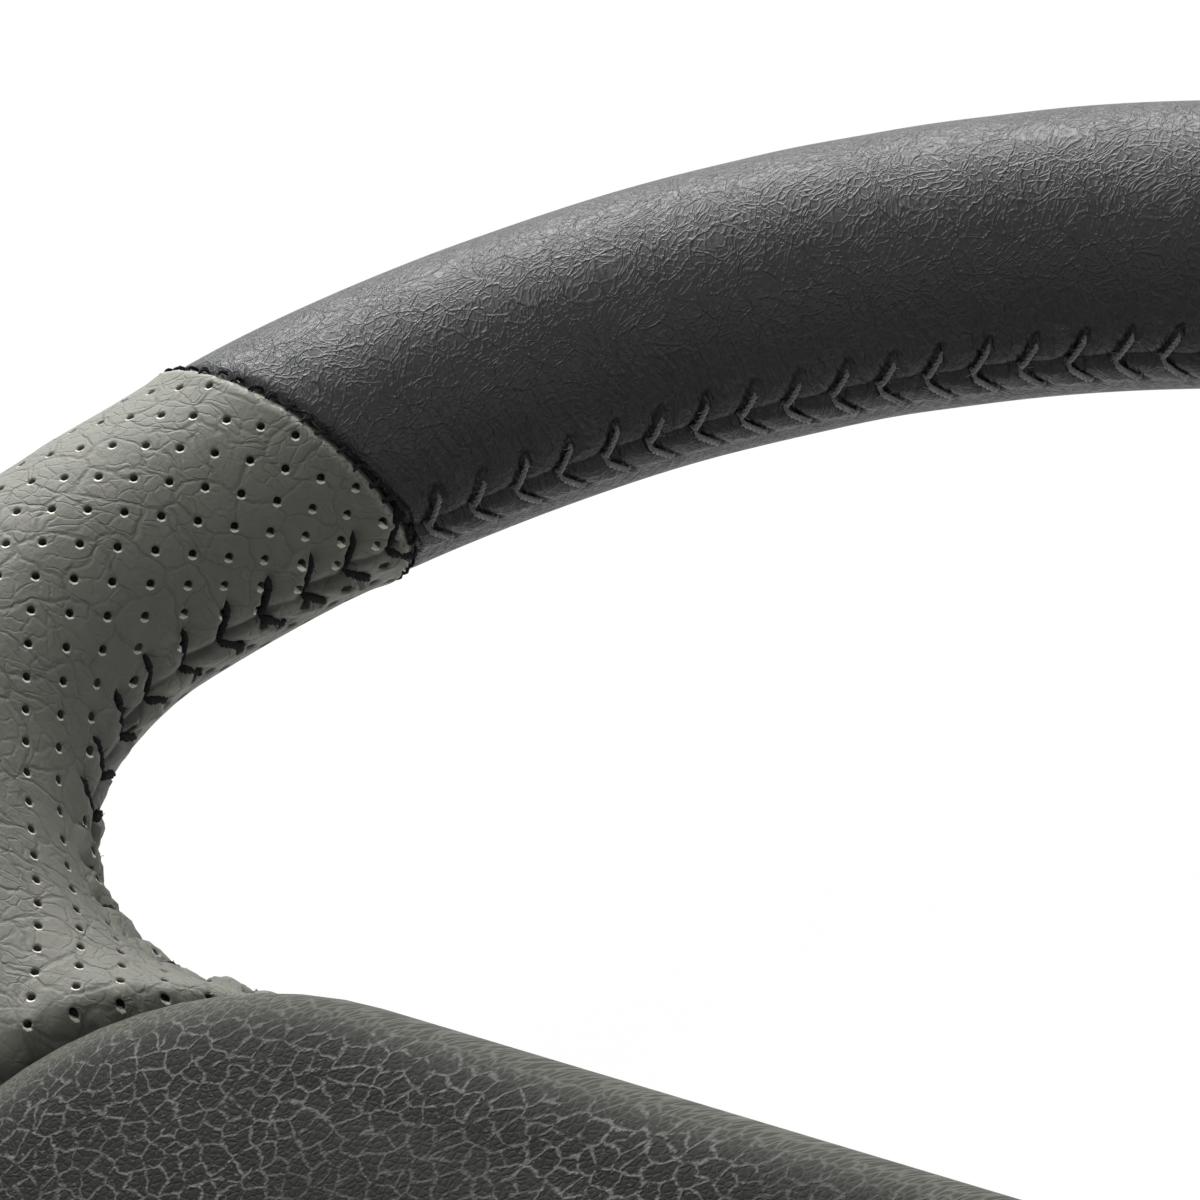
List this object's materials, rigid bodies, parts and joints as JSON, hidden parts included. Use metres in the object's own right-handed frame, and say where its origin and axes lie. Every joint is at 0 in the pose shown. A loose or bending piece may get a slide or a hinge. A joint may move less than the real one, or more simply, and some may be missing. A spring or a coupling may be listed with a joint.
{
  "type": "car steering wheel",
  "caption": "Round leather-wrapped car steering wheel with spokes, a sprung horn pad that carries an airbag module, and a splined hub bore.",
  "frame": {"origin": "centre of the hub's rear face, on the steering axis", "axes": "+Z along the steering axis towards the driver, +Y to twelve o'clock, +X to three o'clock"},
  "size_m": [0.375, 0.375, 0.08],
  "materials": {
    "leather_black": "satin grained leather",
    "leather_grey": "matt perforated leather",
    "thread_grey": "twisted thread",
    "thread_black": "twisted thread",
    "foam": "moulded foam",
    "casting": "cast",
    "steel": "satin",
    "brass": "satin",
    "cover_plastic": "fine grained",
    "pad_skin": "pebble grained",
    "nylon": "smooth",
    "bag_cloth": "plain weave",
    "wire": "smooth",
    "plug": "smooth"
  },
  "bodies": {
    "wheel": {"hub_boss": "steel", "armature": "casting", "rim_foam_left": "foam", "rim_foam_right": "foam", "leather_top": "leather_black", "leather_bottom": "leather_black", "leather_grip_left": "leather_grey", "leather_grip_right": "leather_grey", "stitching_top": "thread_grey", "stitching_bottom": "thread_grey", "stitching_grip_left": "thread_black", "stitching_grip_right": "thread_black", "rear_cover": "cover_plastic", "rear_cover_screws": "steel", "slip_ring_carrier": "cover_plastic", "slip_ring": "brass", "guide_bolts": "steel", "horn_springs": "steel", "horn_contacts_fixed": "brass", "horn_lead": "wire"},
    "pad": {"pad_cover": "pad_skin", "module_tray": "steel", "bag_retainer": "steel", "folded_bag": "bag_cloth", "inflator": "steel", "inflator_nuts": "steel", "pad_screws": "steel", "guide_bushes": "nylon", "horn_contacts_moving": "brass", "squib_plug": "plug"}
  },
  "joints": [
    {"name": "horn_press", "type": "slide", "parent": "wheel", "child": "pad", "axis": [0, 0, -1], "range_m": [0, 0.002], "stiffness_N_per_m": 10000, "springref_m": -0.002, "deforming": ["horn_springs"]}
  ]
}
